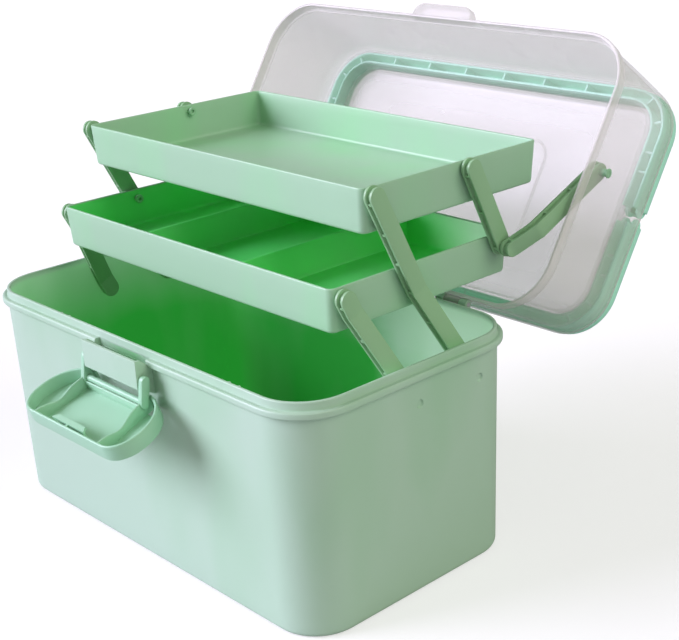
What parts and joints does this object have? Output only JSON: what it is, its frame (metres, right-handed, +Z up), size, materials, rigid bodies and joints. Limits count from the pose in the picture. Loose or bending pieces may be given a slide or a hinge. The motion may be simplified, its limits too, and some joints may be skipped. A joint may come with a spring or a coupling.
{
  "type": "art supply box",
  "caption": "Portable art supply box with a tub, cantilever trays on linked arms, a clear hinged lid, a fold-up carrying handle and a front toggle latch.",
  "frame": {"origin": "centre of the tub's flat underside", "axes": "+X to the box's right, +Y to the rear where the lid is hinged, +Z up; the front with the latch faces -Y"},
  "size_m": [0.3384, 0.4086, 0.3192],
  "materials": {
    "tub_plastic": "pale mint polypropylene, satin moulded surface",
    "clear_plastic": "natural clear polypropylene, slightly milky",
    "handle_plastic": "mint polypropylene",
    "tray_plastic": "mint polypropylene, satin",
    "arm_plastic": "mint polypropylene, satin",
    "pin_plastic": "mint polypropylene, smooth",
    "latch_plastic": "mint polypropylene, smooth",
    "steel_pin": "drawn steel wire"
  },
  "bodies": {
    "base": {"base_tub": "tub_plastic", "hinge_pin_right": "steel_pin", "hinge_pin_left": "steel_pin"},
    "lid": {"lid_shell": "clear_plastic", "handle_pins_right": "pin_plastic", "handle_pins_left": "pin_plastic"},
    "handle_front": {"handle_front": "handle_plastic"},
    "handle_rear": {"handle_rear": "handle_plastic"},
    "latch": {"front_latch": "latch_plastic", "latch_pins": "pin_plastic"},
    "lower_tray": {"lower_tray": "tray_plastic"},
    "upper_tray": {"upper_tray": "tray_plastic"},
    "front_arm_right": {"front_arm_right": "arm_plastic", "front_arm_tub_pin_right": "pin_plastic", "front_arm_tray_pin_right": "pin_plastic"},
    "rear_arm_right": {"rear_arm_right": "arm_plastic", "rear_arm_tub_pin_right": "pin_plastic", "rear_arm_lower_pin_right": "pin_plastic", "rear_arm_upper_pin_right": "pin_plastic"},
    "upper_link_right": {"upper_link_right": "arm_plastic", "upper_link_lower_pin_right": "pin_plastic", "upper_link_upper_pin_right": "pin_plastic"},
    "lid_link_right": {"lid_link_right": "arm_plastic", "lid_link_pin_right": "pin_plastic"},
    "front_arm_left": {"front_arm_left": "arm_plastic", "front_arm_tub_pin_left": "pin_plastic", "front_arm_tray_pin_left": "pin_plastic"},
    "rear_arm_left": {"rear_arm_left": "arm_plastic", "rear_arm_tub_pin_left": "pin_plastic", "rear_arm_lower_pin_left": "pin_plastic", "rear_arm_upper_pin_left": "pin_plastic"},
    "upper_link_left": {"upper_link_left": "arm_plastic", "upper_link_lower_pin_left": "pin_plastic", "upper_link_upper_pin_left": "pin_plastic"},
    "lid_link_left": {"lid_link_left": "arm_plastic", "lid_link_pin_left": "pin_plastic"}
  },
  "joints": [
    {"name": "lid_hinge", "type": "hinge", "parent": "base", "child": "lid", "pos_m": [0, 0.0966, 0.1507], "axis": [1, 0, 0], "range_deg": [0, 122.5]},
    {"name": "handle_front_pivot", "type": "hinge", "parent": "lid", "child": "handle_front", "pos_m": [0, 0.22076, 0.19242], "axis": [-1, 0, 0], "range_deg": [0, 90]},
    {"name": "handle_rear_pivot", "type": "hinge", "parent": "lid", "child": "handle_rear", "pos_m": [0, 0.21507, 0.18348], "axis": [1, 0, 0], "range_deg": [0, 90]},
    {"name": "latch_pivot", "type": "hinge", "parent": "base", "child": "latch", "pos_m": [0, -0.0985, 0.1367], "axis": [-1, 0, 0], "range_deg": [0, 130]},
    {"name": "front_arm_right_pivot", "type": "hinge", "parent": "base", "child": "front_arm_right", "pos_m": [0.1578, 0.0015, 0.127], "axis": [1, 0, 0], "range_deg": [0, 32.55]},
    {"name": "rear_arm_right_pivot", "type": "hinge", "parent": "base", "child": "rear_arm_right", "pos_m": [0.1578, 0.0533, 0.127], "axis": [1, 0, 0], "range_deg": [0, 32.55]},
    {"name": "front_arm_left_pivot", "type": "hinge", "parent": "base", "child": "front_arm_left", "pos_m": [-0.1578, 0.0015, 0.127], "axis": [1, 0, 0], "range_deg": [0, 32.55]},
    {"name": "rear_arm_left_pivot", "type": "hinge", "parent": "base", "child": "rear_arm_left", "pos_m": [-0.1578, 0.0533, 0.127], "axis": [1, 0, 0], "range_deg": [0, 32.55]},
    {"name": "lower_tray_pivot", "type": "hinge", "parent": "rear_arm_right", "child": "lower_tray", "pos_m": [0, 0.01975, 0.19519], "axis": [1, 0, 0], "range_deg": [-32.55, 0]},
    {"name": "upper_tray_pivot", "type": "hinge", "parent": "rear_arm_right", "child": "upper_tray", "pos_m": [0, -0.00692, 0.24939], "axis": [1, 0, 0], "range_deg": [-32.55, 0]},
    {"name": "upper_link_right_pivot", "type": "hinge", "parent": "lower_tray", "child": "upper_link_right", "pos_m": [0.1422, 0.09975, 0.19519], "axis": [1, 0, 0], "range_deg": [0, 32.55]},
    {"name": "lid_link_right_pivot", "type": "hinge", "parent": "lid", "child": "lid_link_right", "pos_m": [0.1596, 0.1726, 0.23], "axis": [1, 0, 0], "range_deg": [0, 27.9]},
    {"name": "upper_link_left_pivot", "type": "hinge", "parent": "lower_tray", "child": "upper_link_left", "pos_m": [-0.1422, 0.09975, 0.19519], "axis": [1, 0, 0], "range_deg": [0, 32.55]},
    {"name": "lid_link_left_pivot", "type": "hinge", "parent": "lid", "child": "lid_link_left", "pos_m": [-0.1596, 0.1726, 0.23], "axis": [1, 0, 0], "range_deg": [0, 27.9]}
  ],
  "couplings": [
    {"joint": "front_arm_right_pivot", "follows": "lid_hinge", "ratio": 0.26531},
    {"joint": "rear_arm_right_pivot", "follows": "lid_hinge", "ratio": 0.26531},
    {"joint": "front_arm_left_pivot", "follows": "lid_hinge", "ratio": 0.26531},
    {"joint": "rear_arm_left_pivot", "follows": "lid_hinge", "ratio": 0.26531},
    {"joint": "lower_tray_pivot", "follows": "lid_hinge", "ratio": -0.26531},
    {"joint": "upper_tray_pivot", "follows": "lid_hinge", "ratio": -0.26531},
    {"joint": "upper_link_right_pivot", "follows": "lid_hinge", "ratio": 0.26531},
    {"joint": "lid_link_right_pivot", "follows": "lid_hinge", "ratio": 0.22735},
    {"joint": "upper_link_left_pivot", "follows": "lid_hinge", "ratio": 0.26531},
    {"joint": "lid_link_left_pivot", "follows": "lid_hinge", "ratio": 0.22735}
  ]
}
